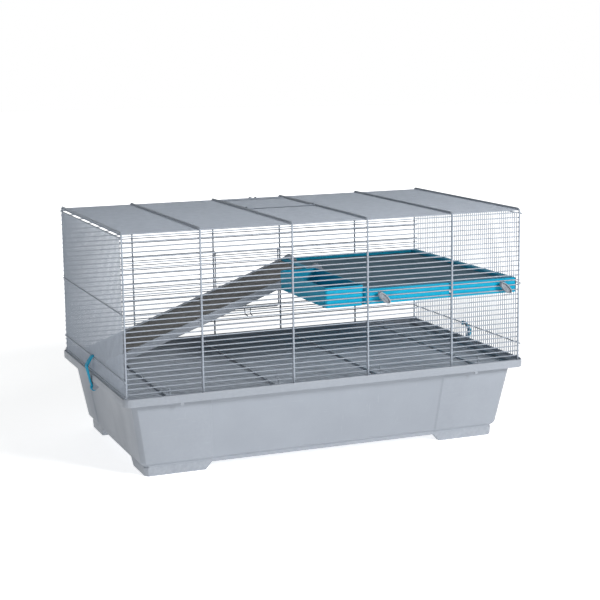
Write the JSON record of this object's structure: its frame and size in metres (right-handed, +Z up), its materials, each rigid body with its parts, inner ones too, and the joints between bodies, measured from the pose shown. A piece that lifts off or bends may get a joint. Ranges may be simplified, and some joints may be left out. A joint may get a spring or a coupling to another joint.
{
  "type": "wire small-animal cage",
  "caption": "Wire cage on a deep plastic tray, with roof and back doors, floor grate, platform, hanging trough, ramp, turn-knobs and side clips.",
  "frame": {"origin": "on the ground, under the middle of the tray", "axes": "+X along the length, towards the platform's end; +Y from the front to the back; +Z up"},
  "size_m": [0.8096, 0.474, 0.4477],
  "materials": {
    "tray": "moulded, satin",
    "grate": "powder coated wire",
    "mesh": "powder coated wire",
    "platform": "moulded, gloss",
    "trough": "moulded, gloss",
    "ramp": "moulded, satin",
    "clip": "moulded, gloss",
    "knob": "moulded, satin"
  },
  "bodies": {
    "base": {"base_tray": "tray", "floor_grate": "grate"},
    "wire_top": {"front_panel": "mesh", "roof_panel": "mesh", "back_panel": "mesh", "left_end_panel": "mesh", "right_end_panel": "mesh", "platform": "platform"},
    "roof_door_body": {"roof_door": "mesh"},
    "back_door_body": {"back_door": "mesh"},
    "trough_body": {"feeding_trough": "trough"},
    "ramp_body": {"ramp": "ramp"},
    "clip_left_body": {"clip_left": "clip"},
    "clip_right_body": {"clip_right": "clip"},
    "front_knob_left_body": {"front_knob_left": "knob"},
    "front_knob_right_body": {"front_knob_right": "knob"},
    "rear_knob_left_body": {"rear_knob_left": "knob"},
    "rear_knob_right_body": {"rear_knob_right": "knob"}
  },
  "joints": [
    {"name": "top_lift", "type": "slide", "parent": "base", "child": "wire_top", "axis": [0, 0, 1], "range_m": [0, 0.25]},
    {"name": "roof_door_hinge", "type": "hinge", "parent": "wire_top", "child": "roof_door_body", "pos_m": [-0.00155, 0.02289, 0.4434], "axis": [1, 0, 0], "range_deg": [0, 120]},
    {"name": "back_door_hinge", "type": "hinge", "parent": "wire_top", "child": "back_door_body", "pos_m": [-0.00155, 0.224, 0.3303], "axis": [1, 0, 0], "range_deg": [0, 110]},
    {"name": "trough_lift", "type": "slide", "parent": "wire_top", "child": "trough_body", "axis": [0, 0, 1], "range_m": [0, 0.08]},
    {"name": "ramp_lift", "type": "slide", "parent": "wire_top", "child": "ramp_body", "axis": [0, 0, 1], "range_m": [0, 0.08]},
    {"name": "clip_left_hinge", "type": "hinge", "parent": "base", "child": "clip_left_body", "pos_m": [-0.3912, 0, 0.1265], "axis": [0, -1, 0], "range_deg": [0, 60]},
    {"name": "clip_right_hinge", "type": "hinge", "parent": "base", "child": "clip_right_body", "pos_m": [0.3912, 0, 0.1265], "axis": [0, 1, 0], "range_deg": [0, 60]},
    {"name": "front_knob_left_turn", "type": "hinge", "parent": "wire_top", "child": "front_knob_left_body", "pos_m": [0.1022, -0.224, 0.2955], "axis": [0, -1, 0], "range_deg": [0, 90]},
    {"name": "front_knob_right_turn", "type": "hinge", "parent": "wire_top", "child": "front_knob_right_body", "pos_m": [0.3562, -0.224, 0.2955], "axis": [0, -1, 0], "range_deg": [0, 90]},
    {"name": "rear_knob_left_turn", "type": "hinge", "parent": "wire_top", "child": "rear_knob_left_body", "pos_m": [0.1022, 0.224, 0.2955], "axis": [0, 1, 0], "range_deg": [0, 90]},
    {"name": "rear_knob_right_turn", "type": "hinge", "parent": "wire_top", "child": "rear_knob_right_body", "pos_m": [0.3562, 0.224, 0.2955], "axis": [0, 1, 0], "range_deg": [0, 90]}
  ]
}
